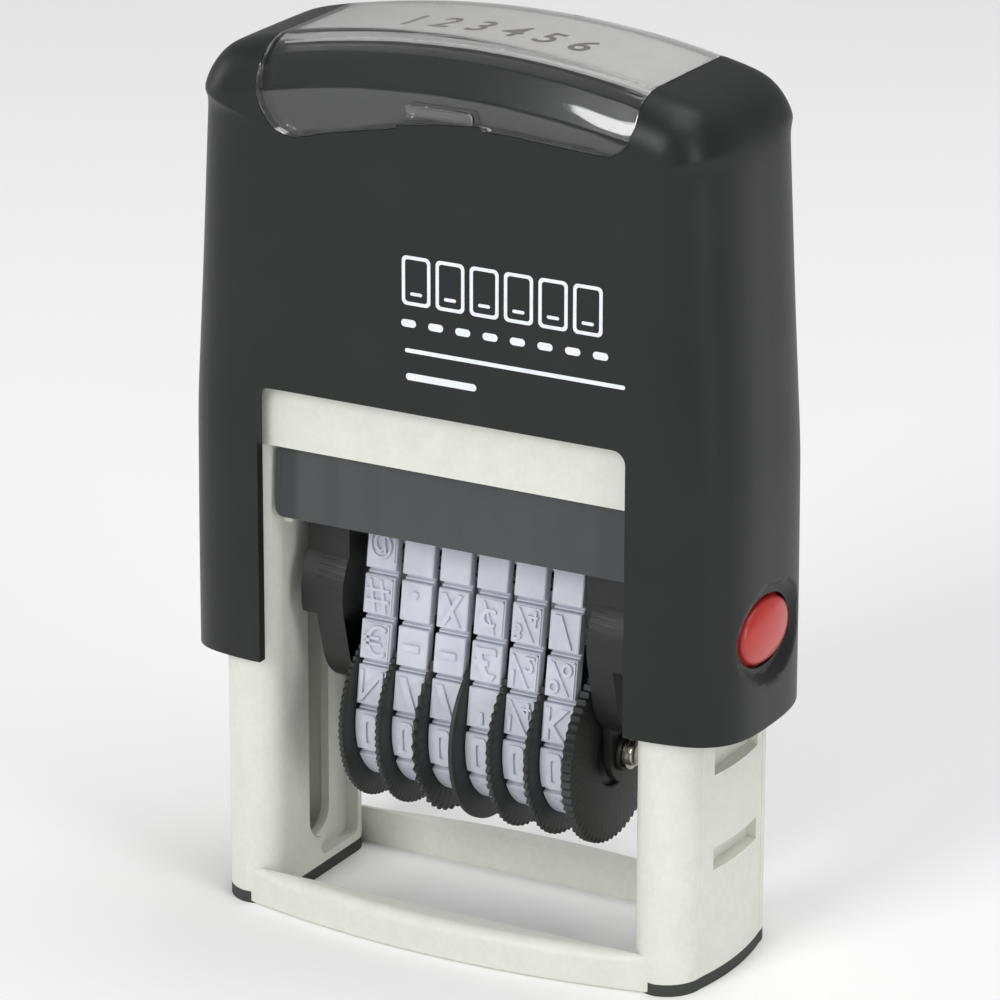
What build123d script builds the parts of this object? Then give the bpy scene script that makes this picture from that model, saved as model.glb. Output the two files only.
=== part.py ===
from build123d import *
import math
import os

# Self-inking hand stamp with six thumb-wheel character bands.
# Millimetres. Origin: centre of the footprint on the paper plane.
# +X along the length of the printed line, -Y towards the user, +Z up.

# ---------------------------------------------------------------- dimensions
cover_half_w = 29.2          # outer cover, half length
cover_half_d = 10.95         # outer cover, half depth
cover_corner = 7.0           # radius of the vertical corners and of the crown's rim
shoulder_r = 7.3             # shoulder radius, seen from the front
shoulder_x = 20.0            # centre of the shoulder
cover_bottom = 25.79         # lower end of the cover arms
cover_top = 88.3             # crown of the cover
cover_wall = 1.0             # front and rear wall
cover_side_wall = 1.3        # side wall
ceiling_z = 82.3             # flat inner ceiling of the cover
crown_radius = 95.7          # arch of the top, seen from the front
window_half_w = 19.46        # front and rear cut-out of the cover
window_top = 53.39
window_corner = 1.3

cap_half_w = 19.2            # clear index cap
cap_bottom = 78.3
cap_thk = 1.2
card_thk = 0.25
card_drop = 1.3              # card below the crown

travel = 21.6                # stroke of the cover
pivot_z = 31.8               # flip axis at rest
pivot_r = 2.2
pivot_bore_r = 2.25
print_z = 42.0               # printing face at rest, facing the pad

leg_in = 19.22               # inner face of the legs
leg_out = 26.05
leg_half_d = 9.6
leg_land = 6.8               # half depth of the flat inner face
leg_top = 55.5
bar_in = 9.07                # inner face of the lower bars
bar_end = 9.9                # outer face of the bars beside the legs
bar_bow = 12.1               # outer face of the bars in the middle
bar_h = 3.73
foot_h = 1.2
cross_bottom = 47.12         # cross head
cross_half_d = 9.12
cavity_in = 20.9             # guide channel inside each leg
cavity_out = 23.9
cavity_half_d = 3.4
slot_half_d = 2.5
slot_bottom = 4.0
slot_top = 36.5
lock_z = 34.3                # lock lug height at rest
lock_travel = 1.15
lock_depth = 1.4

axle_z = 19.59               # thumb wheel axle
axle_r = 1.27
wheel_bore_r = 1.30
wheel_r = 9.1
drum_r = 5.70
flange_t = 0.48
pitch = 4.0
first_flange = -12.11        # left face of the first flange
end_disc_t = 1.18
band_w = 3.36
band_in_r = 5.80
band_t = 1.10
head_y = 2.3                 # half spacing of the band's top bends
head_z = 40.3
head_in_r = 0.40

plate_in_l = -12.95          # inner faces of the two cheeks
plate_in_r = 13.30
plate_out = 15.90
plate_boss = 17.50
plate_r = 6.5

cart_bottom = 39.9
cart_top = 46.9

spring_bottom = 48.9
spring_r = 4.5               # outer radius of the return spring
spring_wire = 0.9
guide_bottom = 79.0          # lower end of the spring guide in the cover

os.makedirs("parts", exist_ok=True)


crown_z = cover_top - crown_radius
shoulder_z = crown_z + math.sqrt((crown_radius - shoulder_r) ** 2 - shoulder_x ** 2)
shoulder_angle = math.degrees(math.atan2(shoulder_x, shoulder_z - crown_z))


def tilted(x, z, angle):
    """Plane through (x, 0, z) whose local axes are Y and the direction at this angle from vertical."""
    a = math.radians(angle)
    return Plane(origin=(x, 0, z), x_dir=(0, 1, 0), z_dir=(math.cos(a), 0, -math.sin(a)))


def cover_body(inset):
    """Solid outer form of the cover, moved inwards by inset on every side."""
    d = cover_half_d - inset
    c = cover_corner - inset
    top_w = shoulder_x + shoulder_r
    with BuildPart() as p:
        for z, w in ((cover_bottom, cover_half_w), (50.0, cover_half_w - 0.15), (64.0, cover_half_w - 1.0), (shoulder_z, top_w)):
            with BuildSketch(Plane.XY.offset(z)):
                RectangleRounded(2 * (w - inset), 2 * d, c)
        loft(ruled=True)
        with BuildSketch(tilted(0, crown_z, -shoulder_angle)):
            with BuildLine():
                r1 = crown_radius - inset
                Polyline((-d, r1 - c), (-d, 60), (d, 60), (d, r1 - c))
                RadiusArc((-d, r1 - c), (-d + c, r1), c)
                Line((-d + c, r1), (d - c, r1))
                RadiusArc((d - c, r1), (d, r1 - c), c)
            make_face()
        revolve(axis=Axis((0, 0, crown_z), (0, 1, 0)), revolution_arc=2 * shoulder_angle)
        with BuildSketch(tilted(shoulder_x, shoulder_z, shoulder_angle)):
            with BuildLine():
                r2 = shoulder_r - inset
                Polyline((-d, r2 - c), (-d, 0), (d, 0), (d, r2 - c))
                RadiusArc((-d, r2 - c), (-d + c, r2), c)
                Line((-d + c, r2), (d - c, r2))
                RadiusArc((d - c, r2), (d, r2 - c), c)
            make_face()
        revolve(axis=Axis((shoulder_x, 0, shoulder_z), (0, 1, 0)), revolution_arc=90 - shoulder_angle)
        mirror(about=Plane.YZ)
    return p.part


under_cap = cover_body(cap_thk)
card_outside = cover_body(card_drop)
card_inside = cover_body(card_drop + card_thk)
outer_form = cover_body(0.0)

# ---------------------------------------------------------------- cover and what rides on it
with BuildPart() as core_in_cap:
    add(cover_body(card_drop + card_thk + 0.05))
    with BuildSketch(Plane.XY.offset(77.0)):
        Rectangle(2 * cap_half_w, 40)
    extrude(amount=20, mode=Mode.INTERSECT)

button_hole_a, button_hole_b = 5.0, 3.3
wall_in = cover_half_w - cover_side_wall

with BuildPart() as cover_shell:
    add(outer_form)
    # recess for the clear cap
    with BuildSketch(Plane.XY.offset(cap_bottom)):
        Rectangle(2 * cap_half_w, 40)
    extrude(amount=20, mode=Mode.SUBTRACT)
    add(core_in_cap.part)
    # hollow inside
    for z, w, r in ((cover_bottom - 1, wall_in, 6.0), (48.0, wall_in, 5.8), (64.0, wall_in - 0.75, 5.5), (77.3, 26.2, 5.0)):
        with BuildSketch(Plane.XY.offset(z)):
            RectangleRounded(2 * w, 2 * (cover_half_d - cover_wall), r)
    loft(ruled=True, mode=Mode.SUBTRACT)
    with BuildSketch(Plane.XY.offset(77.25)):
        RectangleRounded(2 * 25.6, 2 * 8.5, 5.0)
    with BuildSketch(Plane.XY.offset(ceiling_z)):
        RectangleRounded(2 * 24.2, 2 * 7.2, 4.0)
    loft(ruled=True, mode=Mode.SUBTRACT)
    # cut-out, front to back
    with BuildSketch(Plane.XZ.offset(-20)) as cut:
        with Locations((0, (cover_bottom + window_top) / 2 - 5)):
            RectangleRounded(2 * window_half_w, window_top - cover_bottom + 10, window_corner)
    extrude(amount=40, mode=Mode.SUBTRACT)
    # oval holes for the lock buttons
    with BuildSketch(Plane.YZ.offset(-40)):
        with Locations((0, lock_z)):
            Ellipse(button_hole_a, button_hole_b)
    extrude(amount=80, mode=Mode.SUBTRACT)
    # shallow dish round each button
    for s in (-1, 1):
        with BuildSketch(Plane.YZ.offset(s * (cover_half_w - 0.45))):
            with Locations((0, lock_z)):
                Ellipse(6.3, 4.6)
        extrude(amount=s * 3, mode=Mode.SUBTRACT)
cover_shell.part.label = "cover_shell"
export_step(cover_shell.part, "parts/cover_shell.step")

with BuildPart() as index_window:
    add(outer_form)
    with BuildSketch(Plane.XY.offset(cap_bottom + 0.05)):
        Rectangle(2 * cap_half_w - 0.1, 40)
    extrude(amount=20, mode=Mode.INTERSECT)
    add(under_cap, mode=Mode.SUBTRACT)
index_window.part.label = "index_window"
export_step(index_window.part, "parts/index_window.step")

# The printed card follows the crown between the cap and the cover.
with BuildPart() as index_label:
    add(card_outside)
    with BuildSketch(Plane.XY.offset(82.0)):
        Rectangle(37.6, 13.2)
    extrude(amount=20, mode=Mode.INTERSECT)
    add(card_inside, mode=Mode.SUBTRACT)
index_label.part.label = "index_label"
export_step(index_label.part, "parts/index_label.step")

with BuildPart() as slider_right:
    with BuildSketch(Plane.XY.offset(pivot_z - 3.2)):
        with Locations(((cavity_in + cavity_out) / 2, 0)):
            RectangleRounded(cavity_out - cavity_in - 0.4, 2 * cavity_half_d - 0.4, 0.5)
    extrude(amount=ceiling_z - pivot_z + 3.2)
    with BuildSketch(Plane.YZ.offset(cavity_in - 1)):
        with Locations((0, pivot_z)):
            Circle(pivot_r)
    extrude(amount=2.4, mode=Mode.SUBTRACT)
slider_right.part.label = "slider_right"
export_step(slider_right.part, "parts/slider_right.step")

with BuildPart() as slider_left:
    add(mirror(slider_right.part, about=Plane.YZ))
slider_left.part.label = "slider_left"
export_step(slider_left.part, "parts/slider_left.step")

with BuildPart() as pivot_pin_right:
    with BuildSketch(Plane.YZ.offset(plate_in_r + 0.3)):
        with Locations((0, pivot_z)):
            Circle(pivot_r)
    extrude(amount=cavity_in + 1.4 - plate_in_r - 0.3)
    chamfer(pivot_pin_right.edges().sort_by(Axis.X)[0], 0.3)
pivot_pin_right.part.label = "pivot_pin_right"
export_step(pivot_pin_right.part, "parts/pivot_pin_right.step")

with BuildPart() as pivot_pin_left:
    with BuildSketch(Plane.YZ.offset(plate_in_l - 0.3)):
        with Locations((0, pivot_z)):
            Circle(pivot_r)
    extrude(amount=-(cavity_in + 1.4 + plate_in_l - 0.3))
    chamfer(pivot_pin_left.edges().sort_by(Axis.X)[-1], 0.3)
pivot_pin_left.part.label = "pivot_pin_left"
export_step(pivot_pin_left.part, "parts/pivot_pin_left.step")

with BuildPart() as spring_guide:
    with BuildSketch(Plane.XY.offset(guide_bottom)):
        Circle(2.8)
    extrude(amount=ceiling_z - guide_bottom)
    chamfer(spring_guide.edges().sort_by(Axis.Z)[0], 0.6)
    with BuildSketch(Plane.XY.offset(ceiling_z - 0.8)):
        Circle(5.6)
    extrude(amount=0.8)
spring_guide.part.label = "spring_guide"
export_step(spring_guide.part, "parts/spring_guide.step")

with BuildPart() as return_spring:
    with BuildSketch(Plane.XY.offset(spring_bottom)):
        Circle(spring_r)
        Circle(spring_r - spring_wire, mode=Mode.SUBTRACT)
    extrude(amount=ceiling_z - 0.8 - spring_bottom)
return_spring.part.label = "return_spring"
export_step(return_spring.part, "parts/return_spring.step")

# ---------------------------------------------------------------- lock buttons
with BuildPart() as lock_button_right:
    with BuildSketch(Plane.YZ.offset(wall_in - 0.65)):
        with Locations((0, lock_z)):
            Ellipse(5.3, 3.9)
    extrude(amount=0.35)
    with BuildSketch(Plane.YZ.offset(wall_in - 0.3)):
        with Locations((0, lock_z)):
            Ellipse(4.85, 3.15)
    extrude(amount=1.3)
    fillet(lock_button_right.edges().filter_by(GeomType.ELLIPSE).sort_by(Axis.X)[-1], 0.35)
    with BuildSketch(Plane.YZ.offset(26.3)):
        with Locations((0, lock_z)):
            Rectangle(6.4, 1.5)
    extrude(amount=wall_in - 0.65 - 26.3)
lock_button_right.part.label = "lock_button_right"
export_step(lock_button_right.part, "parts/lock_button_right.step")

with BuildPart() as lock_button_left:
    add(mirror(lock_button_right.part, about=Plane.YZ))
lock_button_left.part.label = "lock_button_left"
export_step(lock_button_left.part, "parts/lock_button_left.step")

# ---------------------------------------------------------------- frame
with BuildSketch(Plane.XY) as leg_plan:
    with BuildLine():
        Line((leg_in, -leg_land), (leg_in, leg_land))
        ThreePointArc((leg_in, leg_land), (20.15, 8.75), (22.4, leg_half_d))
        ThreePointArc((22.4, leg_half_d), (24.3, 8.62), (25.4, 6.1))
        ThreePointArc((25.4, 6.1), (leg_out, 0), (25.4, -6.1))
        ThreePointArc((25.4, -6.1), (24.3, -8.62), (22.4, -leg_half_d))
        ThreePointArc((22.4, -leg_half_d), (20.15, -8.75), (leg_in, -leg_land))
    make_face()

with BuildSketch(Plane.XY) as bar_plan:
    with BuildLine():
        Line((-21.8, -bar_in), (21.8, -bar_in))
        Line((21.8, -bar_in), (21.8, -bar_end + 0.25))
        ThreePointArc((21.8, -bar_end + 0.25), (0, -bar_bow), (-21.8, -bar_end + 0.25))
        Line((-21.8, -bar_end + 0.25), (-21.8, -bar_in))
    make_face()

with BuildPart() as front_bar:
    add(bar_plan.sketch)
    extrude(amount=bar_h)
    fillet(front_bar.edges().filter_by(GeomType.CIRCLE).sort_by(Axis.Z)[-1], 1.3)

with BuildPart() as right_leg:
    with BuildSketch(Plane.XY.offset(foot_h)):
        add(leg_plan.sketch)
    extrude(amount=leg_top - foot_h)

with BuildPart() as base_frame:
    add(right_leg.part)
    add(mirror(right_leg.part, about=Plane.YZ))
    add(front_bar.part)
    add(mirror(front_bar.part, about=Plane.XZ))
    # cross head above the cartridge bay
    with BuildSketch(Plane.XY.offset(cross_bottom)):
        Rectangle(2 * 22.4, 2 * cross_half_d)
    extrude(amount=leg_top - cross_bottom)
    # pocket in the cross head, with the spring well left standing
    with BuildSketch(Plane.XY.offset(spring_bottom)):
        Rectangle(2 * 19.6, 2 * (cross_half_d - 1.5))
        Circle(6.6, mode=Mode.SUBTRACT)
    extrude(amount=20, mode=Mode.SUBTRACT)
    with BuildSketch(Plane.XY.offset(spring_bottom)):
        Circle(5.1)
    extrude(amount=20, mode=Mode.SUBTRACT)
    with BuildSketch(Plane.XY.offset(spring_bottom)):
        Circle(2.8)
    extrude(amount=8.0)
    for s in (-1, 1):
        # guide channel and slot
        with BuildSketch(Plane.XY.offset(slot_bottom)):
            with Locations((s * (cavity_in + cavity_out) / 2, 0)):
                Rectangle(cavity_out - cavity_in, 2 * cavity_half_d)
        extrude(amount=leg_top, mode=Mode.SUBTRACT)
        with BuildSketch(Plane.YZ.offset(s * (leg_in - 1))):
            with Locations((0, (slot_bottom + slot_top) / 2)):
                SlotOverall(slot_top - slot_bottom, 2 * slot_half_d, rotation=90)
        extrude(amount=s * 2.9, mode=Mode.SUBTRACT)
        # relief behind the front land of the inner face
        with BuildSketch(Plane.YZ.offset(s * (leg_in - 1))):
            with Locations((3.2, (2.0 + 38.0) / 2)):
                RectangleRounded(7.0, 36.0, 0.8)
            with Locations((0, (slot_bottom + slot_top) / 2)):
                SlotOverall(slot_top - slot_bottom + 2.6, 2 * slot_half_d + 2.6, rotation=90, mode=Mode.SUBTRACT)
        extrude(amount=s * 2.3, mode=Mode.SUBTRACT)
        with BuildSketch(Plane.YZ.offset(s * (leg_in - 1))):
            with Locations((3.2, (2.0 + 38.0) / 2)):
                RectangleRounded(7.0, 36.0, 0.8)
        extrude(amount=s * 1.8, mode=Mode.SUBTRACT)
        # lock slots in the outer face
        for z0, z1 in ((11.5, 13.7), (21.0, 25.0), (33.2, 35.4)):
            with BuildSketch(Plane.YZ.offset(s * (leg_out - lock_depth))):
                with Locations((0, (z0 + z1) / 2)):
                    Rectangle(8.8, z1 - z0)
            extrude(amount=s * 4, mode=Mode.SUBTRACT)
        # cartridge ledges
        with BuildSketch(Plane.XY.offset(38.7)):
            with Locations((s * 18.85, 0.6)):
                Rectangle(0.9, 14.0)
        extrude(amount=1.1)
base_frame.part.label = "base_frame"
export_step(base_frame.part, "parts/base_frame.step")

with BuildPart() as foot_right:
    with BuildSketch(Plane.XY):
        add(leg_plan.sketch)
    extrude(amount=foot_h)
    for s in (-1, 1):
        with BuildSketch(Plane.XY.offset(-1)):
            with Locations((10, s * (bar_in + 5))):
                Rectangle(23.8, 10.2)
        extrude(amount=4, mode=Mode.SUBTRACT)
foot_right.part.label = "foot_right"
export_step(foot_right.part, "parts/foot_right.step")

with BuildPart() as foot_left:
    add(mirror(foot_right.part, about=Plane.YZ))
foot_left.part.label = "foot_left"
export_step(foot_left.part, "parts/foot_left.step")

# ---------------------------------------------------------------- ink cartridge
with BuildPart() as ink_cartridge:
    with BuildSketch(Plane.XY.offset(cart_top - 1.7)):
        with Locations((0, 0.5)):
            Rectangle(38.0, 15.0)
    extrude(amount=1.7)
    for s in (-1, 1):
        with BuildSketch(Plane.XY.offset(cart_bottom)):
            with Locations((s * 18.45, 0.5)):
                Rectangle(1.1, 15.0)
        extrude(amount=cart_top - cart_bottom)
    with BuildSketch(Plane.XY.offset(print_z + 0.5)):
        with Locations((0, 7.5)):
            Rectangle(38.0, 1.0)
    extrude(amount=cart_top - print_z - 0.5)
    # fluted grip
    with BuildSketch(Plane.XZ.offset(6.95)):
        with Locations((0, (cart_bottom + cart_top) / 2)):
            RectangleRounded(38.3, cart_top - cart_bottom, 0.9)
    extrude(amount=1.15)
    with BuildSketch(Plane.XY.offset(cart_bottom - 1)):
        with GridLocations(4.7, 0, 8, 1):
            with Locations((0, -8.1 - 5.0 + 0.35)):
                Circle(5.0)
    extrude(amount=10, mode=Mode.SUBTRACT)
ink_cartridge.part.label = "ink_cartridge"
export_step(ink_cartridge.part, "parts/ink_cartridge.step")

with BuildPart() as ink_pad:
    with BuildSketch(Plane.XY.offset(print_z + 0.15)):
        with Locations((0, 0.05)):
            Rectangle(35.6, 13.7)
    extrude(amount=cart_top - 1.7 - print_z - 0.15)
ink_pad.part.label = "ink_pad"
export_step(ink_pad.part, "parts/ink_pad.step")

# ---------------------------------------------------------------- flip carrier
def cheek(x_in, side):
    """One side plate: round head on the flip axis, stem down to the axle."""
    with BuildPart() as p:
        with BuildSketch(Plane.YZ.offset(x_in)):
            with Locations((0, pivot_z)):
                Circle(plate_r)
            with Locations((0, 27.3)):
                Circle(5.4)
            with Locations((0, axle_z + 5.6)):
                Circle(3.0)
            make_hull()
        extrude(amount=side * (plate_out - abs(x_in)))
        with BuildSketch(Plane.YZ.offset(x_in)):
            with Locations((0, axle_z + 5.0)):
                Circle(3.2)
            with Locations((0, axle_z)):
                Circle(2.9)
            make_hull()
        extrude(amount=side * 0.75)
        with BuildSketch(Plane.YZ.offset(x_in)):
            with Locations((0, axle_z)):
                Circle(1.9)
        extrude(amount=side * 1.15)
        # neck up to the printing head
        with BuildSketch(Plane.YZ.offset(x_in)):
            with Locations((0, 37.6)):
                Rectangle(6.0, 6.4)
        extrude(amount=side * (plate_boss - abs(x_in)))
        # outer boss, flat underneath
        with BuildSketch(Plane.YZ.offset(x_in)):
            with Locations((0, pivot_z)):
                Circle(plate_r)
            with Locations((0, 24.9)):
                Rectangle(20, 10, mode=Mode.SUBTRACT)
        extrude(amount=side * (plate_boss - abs(x_in)))
        with BuildSketch(Plane.YZ.offset(x_in - side)):
            with Locations((0, pivot_z)):
                Circle(pivot_bore_r)
            with Locations((0, axle_z)):
                Circle(axle_r)
        extrude(amount=side * 8, mode=Mode.SUBTRACT)
    return p.part


with BuildPart() as side_plate_right:
    add(cheek(plate_in_r, 1))
side_plate_right.part.label = "side_plate_right"
export_step(side_plate_right.part, "parts/side_plate_right.step")

with BuildPart() as side_plate_left:
    add(cheek(plate_in_l, -1))
side_plate_left.part.label = "side_plate_left"
export_step(side_plate_left.part, "parts/side_plate_left.step")

with BuildPart() as platen:
    with BuildSketch(Plane.YZ.offset(plate_in_l)):
        with Locations((0, 39.4)):
            RectangleRounded(5.0, 2.4, 0.5)
    extrude(amount=plate_in_r - plate_in_l)
platen.part.label = "platen"
export_step(platen.part, "parts/platen.step")

with BuildPart() as tie_rod:
    with BuildSketch(Plane.YZ.offset(plate_in_l)):
        with Locations((0, 35.2)):
            Circle(1.0)
    extrude(amount=plate_in_r - plate_in_l)
tie_rod.part.label = "tie_rod"
export_step(tie_rod.part, "parts/tie_rod.step")

with BuildPart() as wheel_axle:
    with BuildSketch(Plane.YZ.offset(-15.4)):
        with Locations((0, axle_z)):
            Circle(axle_r)
    extrude(amount=30.9)
    fillet(wheel_axle.edges().filter_by(GeomType.CIRCLE), 0.35)
wheel_axle.part.label = "wheel_axle"
export_step(wheel_axle.part, "parts/wheel_axle.step")

for name, x0, x1 in (("axle_clip_right", 14.55, 14.85), ("axle_clip_left", -14.50, -14.20)):
    with BuildPart() as clip:
        with BuildSketch(Plane.YZ.offset(x0)):
            with Locations((0, axle_z)):
                Circle(1.62)
                Circle(axle_r, mode=Mode.SUBTRACT)
        extrude(amount=x1 - x0)
    clip.part.label = name
    export_step(clip.part, "parts/" + name + ".step")

with BuildPart() as axle_washer:
    with BuildSketch(Plane.YZ.offset(plate_in_l + 0.05)):
        with Locations((0, axle_z)):
            Circle(3.0)
            Circle(axle_r + 0.03, mode=Mode.SUBTRACT)
    extrude(amount=first_flange - plate_in_l - 0.1)
axle_washer.part.label = "axle_washer"
export_step(axle_washer.part, "parts/axle_washer.step")

for i in range(6):
    x0 = first_flange + i * pitch
    # character band: closed loop over the printing head and the wheel's drum
    with BuildPart() as band:
        with BuildSketch(Plane.YZ.offset(x0 + flange_t + 0.08)):
            with Locations((0, axle_z)):
                Circle(band_in_r + band_t)
            with Locations((head_y, head_z), (-head_y, head_z)):
                Circle(head_in_r + band_t)
            make_hull()
        extrude(amount=band_w)
        with BuildSketch(Plane.YZ.offset(x0 + flange_t)):
            with Locations((0, axle_z)):
                Circle(band_in_r)
            with Locations((head_y, head_z), (-head_y, head_z)):
                Circle(head_in_r)
            make_hull()
        extrude(amount=band_w + 1, mode=Mode.SUBTRACT)
    band.part.label = "band_%d" % (i + 1)
    export_step(band.part, "parts/band_%d.step" % (i + 1))

    # thumb wheel: flange on the left, drum for the band
    with BuildPart() as wheel:
        with BuildSketch(Plane.YZ.offset(x0)):
            with Locations((0, axle_z)):
                Circle(wheel_r)
        extrude(amount=flange_t)
        with BuildSketch(Plane.YZ.offset(x0)):
            with Locations((0, axle_z)):
                Circle(drum_r)
        extrude(amount=pitch - (0.05 if i < 5 else 0.0))
        with BuildSketch(Plane.YZ.offset(x0 - 1)):
            with Locations((0, axle_z)):
                Circle(wheel_bore_r)
        extrude(amount=8, mode=Mode.SUBTRACT)
    wheel.part.label = "wheel_%d" % (i + 1)
    export_step(wheel.part, "parts/wheel_%d.step" % (i + 1))

with BuildPart() as wheel_end_disc:
    with BuildSketch(Plane.YZ.offset(first_flange + 6 * pitch)):
        with Locations((0, axle_z)):
            Circle(wheel_r)
            Circle(wheel_bore_r, mode=Mode.SUBTRACT)
    extrude(amount=end_disc_t)
wheel_end_disc.part.label = "wheel_end_disc"
export_step(wheel_end_disc.part, "parts/wheel_end_disc.step")
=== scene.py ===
import bpy
import bmesh
import math
from mathutils import Vector, Matrix


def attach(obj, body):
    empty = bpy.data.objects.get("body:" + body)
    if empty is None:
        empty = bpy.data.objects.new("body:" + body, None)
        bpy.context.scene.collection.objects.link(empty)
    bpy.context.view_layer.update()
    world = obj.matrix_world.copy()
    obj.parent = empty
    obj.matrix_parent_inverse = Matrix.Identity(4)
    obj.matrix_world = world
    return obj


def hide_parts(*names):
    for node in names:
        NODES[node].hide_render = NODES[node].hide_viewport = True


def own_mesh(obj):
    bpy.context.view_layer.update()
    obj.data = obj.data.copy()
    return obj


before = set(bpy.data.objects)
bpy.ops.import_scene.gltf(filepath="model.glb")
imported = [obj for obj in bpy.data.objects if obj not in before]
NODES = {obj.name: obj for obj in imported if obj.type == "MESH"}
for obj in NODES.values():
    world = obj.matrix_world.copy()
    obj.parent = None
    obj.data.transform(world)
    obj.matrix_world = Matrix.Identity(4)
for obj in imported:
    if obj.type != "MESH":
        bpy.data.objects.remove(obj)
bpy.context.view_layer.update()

MM = 0.001
C = bpy.context
COLL = C.scene.collection


# ------------------------------------------------------------------ materials
def base_mat(name):
    m = bpy.data.materials.new(name)
    m.use_nodes = True
    nt = m.node_tree
    nt.nodes.clear()
    out = nt.nodes.new("ShaderNodeOutputMaterial")
    b = nt.nodes.new("ShaderNodeBsdfPrincipled")
    nt.links.new(b.outputs[0], out.inputs["Surface"])
    return m, nt, b


def lin(c):
    def f(v):
        v = v / 255.0
        return v / 12.92 if v <= 0.04045 else ((v + 0.055) / 1.055) ** 2.4
    return (f(c[0]), f(c[1]), f(c[2]), 1.0)


def moulded(name, dark, light, rough=0.45, var=0.06, grain=2600.0, blotch=90.0, bump=0.25, depth=0.00002,
            stretch=(1, 1, 1), flow=0.0, **sockets):
    """Moulded plastic: soft tone drift, fine grain in the gloss and the surface."""
    m, nt, b = base_mat(name)
    new, link = nt.nodes.new, nt.links.new
    tc = new("ShaderNodeTexCoord")
    mp = new("ShaderNodeMapping")
    mp.inputs["Scale"].default_value = stretch
    link(tc.outputs["Object"], mp.inputs["Vector"])
    big = new("ShaderNodeTexNoise")
    big.inputs["Scale"].default_value = blotch
    big.inputs["Detail"].default_value = 3
    link(mp.outputs[0], big.inputs["Vector"])
    fine = new("ShaderNodeTexNoise")
    fine.inputs["Scale"].default_value = grain
    fine.inputs["Detail"].default_value = 2
    link(mp.outputs[0], fine.inputs["Vector"])
    ramp = new("ShaderNodeValToRGB")
    ramp.color_ramp.elements[0].position = 0.32
    ramp.color_ramp.elements[0].color = lin(dark)
    ramp.color_ramp.elements[1].position = 0.68
    ramp.color_ramp.elements[1].color = lin(light)
    link(big.outputs["Fac"], ramp.inputs["Fac"])
    speck = new("ShaderNodeMapRange")
    speck.inputs["To Min"].default_value = 0.94
    speck.inputs["To Max"].default_value = 1.06
    link(fine.outputs["Fac"], speck.inputs["Value"])
    mul = new("ShaderNodeVectorMath")
    mul.operation = "SCALE"
    link(ramp.outputs["Color"], mul.inputs[0])
    link(speck.outputs[0], mul.inputs["Scale"])
    link(mul.outputs[0], b.inputs["Base Color"])
    rr = new("ShaderNodeMapRange")
    rr.inputs["To Min"].default_value = rough - var
    rr.inputs["To Max"].default_value = rough + var
    link(fine.outputs["Fac"], rr.inputs["Value"])
    link(rr.outputs[0], b.inputs["Roughness"])
    bp = new("ShaderNodeBump")
    bp.inputs["Strength"].default_value = bump
    bp.inputs["Distance"].default_value = depth
    link(fine.outputs["Fac"], bp.inputs["Height"])
    link(bp.outputs[0], b.inputs["Normal"])
    for k, v in sockets.items():
        b.inputs[k.replace("_", " ")].default_value = v
    return m


M = {
    "cover_black": moulded("cover_black", (24, 27, 26), (29, 32, 30), rough=0.40, var=0.05, grain=3200, bump=0.35, Specular_IOR_Level=0.3),
    "frame_grey": moulded("frame_grey", (216, 217, 208), (221, 222, 213), rough=0.46, var=0.03, grain=1800, blotch=420, bump=0.18),
    "foot_black": moulded("foot_black", (48, 51, 47), (56, 58, 54), rough=0.7, var=0.08, grain=1500, bump=0.5),
    "cartridge_black": moulded("cartridge_black", (58, 60, 62), (66, 68, 69), rough=0.5, var=0.07, grain=2400, bump=0.4),
    "ink_felt": moulded("ink_felt", (18, 20, 34), (34, 36, 54), rough=0.95, var=0.04, grain=900, blotch=400, bump=1.0, depth=0.00012, Sheen_Weight=0.3),
    "core_black": moulded("core_black", (27, 30, 30), (32, 35, 35), rough=0.2, var=0.03, grain=3200, bump=0.03, Specular_IOR_Level=0.25),
    "carrier_black": moulded("carrier_black", (20, 21, 20), (26, 27, 26), rough=0.46, var=0.06, grain=2200, bump=0.25),
    "wheel_black": moulded("wheel_black", (31, 34, 33), (40, 43, 41), rough=0.50, var=0.08, grain=1700, bump=0.5),
    "band_rubber": moulded("band_rubber", (192, 195, 206), (205, 208, 218), rough=0.62, var=0.08, grain=1500, blotch=300, bump=0.35),
    "button_red": moulded("button_red", (176, 38, 34), (192, 50, 44), rough=0.38, var=0.05, grain=2400, bump=0.2, Coat_Weight=0.25),
    "card": moulded("card", (238, 238, 236), (246, 245, 243), rough=0.75, var=0.08, grain=5200, blotch=700, bump=0.5, stretch=(1, 0.35, 1)),
    "axle_steel": moulded("axle_steel", (178, 172, 166), (205, 200, 194), rough=0.22, var=0.08, grain=900, blotch=400, stretch=(0.15, 1, 1), Metallic=1.0),
    "spring_steel": moulded("spring_steel", (150, 150, 152), (186, 186, 188), rough=0.3, var=0.08, grain=1400, blotch=400, Metallic=1.0),
    "print_white": moulded("print_white", (222, 226, 232), (234, 238, 243), rough=0.55, var=0.06, grain=4200, blotch=900, bump=0.4),
    "print_brown": moulded("print_brown", (96, 84, 76), (114, 101, 93), rough=0.7, var=0.05, grain=6000, blotch=1500, bump=0.2),
}


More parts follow.
